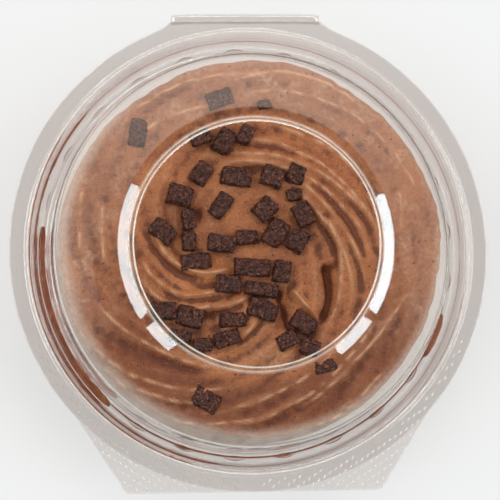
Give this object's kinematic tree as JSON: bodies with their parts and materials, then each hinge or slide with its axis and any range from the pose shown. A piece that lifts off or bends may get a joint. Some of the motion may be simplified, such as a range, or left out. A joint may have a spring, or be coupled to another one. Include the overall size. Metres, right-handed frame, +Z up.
{
  "type": "chocolate mousse in a hinged cup",
  "caption": "round clear hinged cup with its domed lid shut, filled with swirled chocolate mousse topped with blocks of dark chocolate",
  "frame": {"origin": "centre of the tub's flat base, where it stands on the table", "axes": "+Z up through the middle of the lid's dome, +Y towards the hinge, -Y towards the grip tabs, +X to the right seen from the front"},
  "size_m": [0.12, 0.1203, 0.0552],
  "materials": {
    "clear_pet": "clear thermoformed PET, glossy, very thin",
    "mousse": "aerated milk chocolate mousse, soft satin with fine bubbles",
    "dark_chocolate": "dark chocolate blocks, moist, low gloss"
  },
  "bodies": {
    "cup": {"tub": "clear_pet", "hinge_fold": "clear_pet", "mousse": "mousse", "chocolate_01": "dark_chocolate", "chocolate_02": "dark_chocolate", "chocolate_03": "dark_chocolate", "chocolate_04": "dark_chocolate", "chocolate_05": "dark_chocolate", "chocolate_06": "dark_chocolate", "chocolate_07": "dark_chocolate", "chocolate_08": "dark_chocolate", "chocolate_09": "dark_chocolate", "chocolate_10": "dark_chocolate", "chocolate_11": "dark_chocolate", "chocolate_12": "dark_chocolate", "chocolate_13": "dark_chocolate", "chocolate_14": "dark_chocolate", "chocolate_15": "dark_chocolate", "chocolate_16": "dark_chocolate", "chocolate_17": "dark_chocolate", "chocolate_18": "dark_chocolate", "chocolate_19": "dark_chocolate", "chocolate_20": "dark_chocolate", "chocolate_21": "dark_chocolate", "chocolate_22": "dark_chocolate", "chocolate_23": "dark_chocolate", "chocolate_24": "dark_chocolate", "chocolate_25": "dark_chocolate", "chocolate_26": "dark_chocolate", "chocolate_27": "dark_chocolate", "chocolate_28": "dark_chocolate", "chocolate_29": "dark_chocolate", "chocolate_30": "dark_chocolate", "chocolate_31": "dark_chocolate", "chocolate_32": "dark_chocolate", "chocolate_33": "dark_chocolate", "chocolate_34": "dark_chocolate", "chocolate_35": "dark_chocolate", "chocolate_36": "dark_chocolate", "chocolate_37": "dark_chocolate", "chocolate_38": "dark_chocolate", "chocolate_39": "dark_chocolate"},
    "lid": {"lid": "clear_pet"}
  },
  "joints": [
    {"name": "lid_hinge", "type": "hinge", "parent": "cup", "child": "lid", "pos_m": [0, 0.05945, 0.03615], "axis": [-1, 0, 0], "range_deg": [0, 180]}
  ]
}
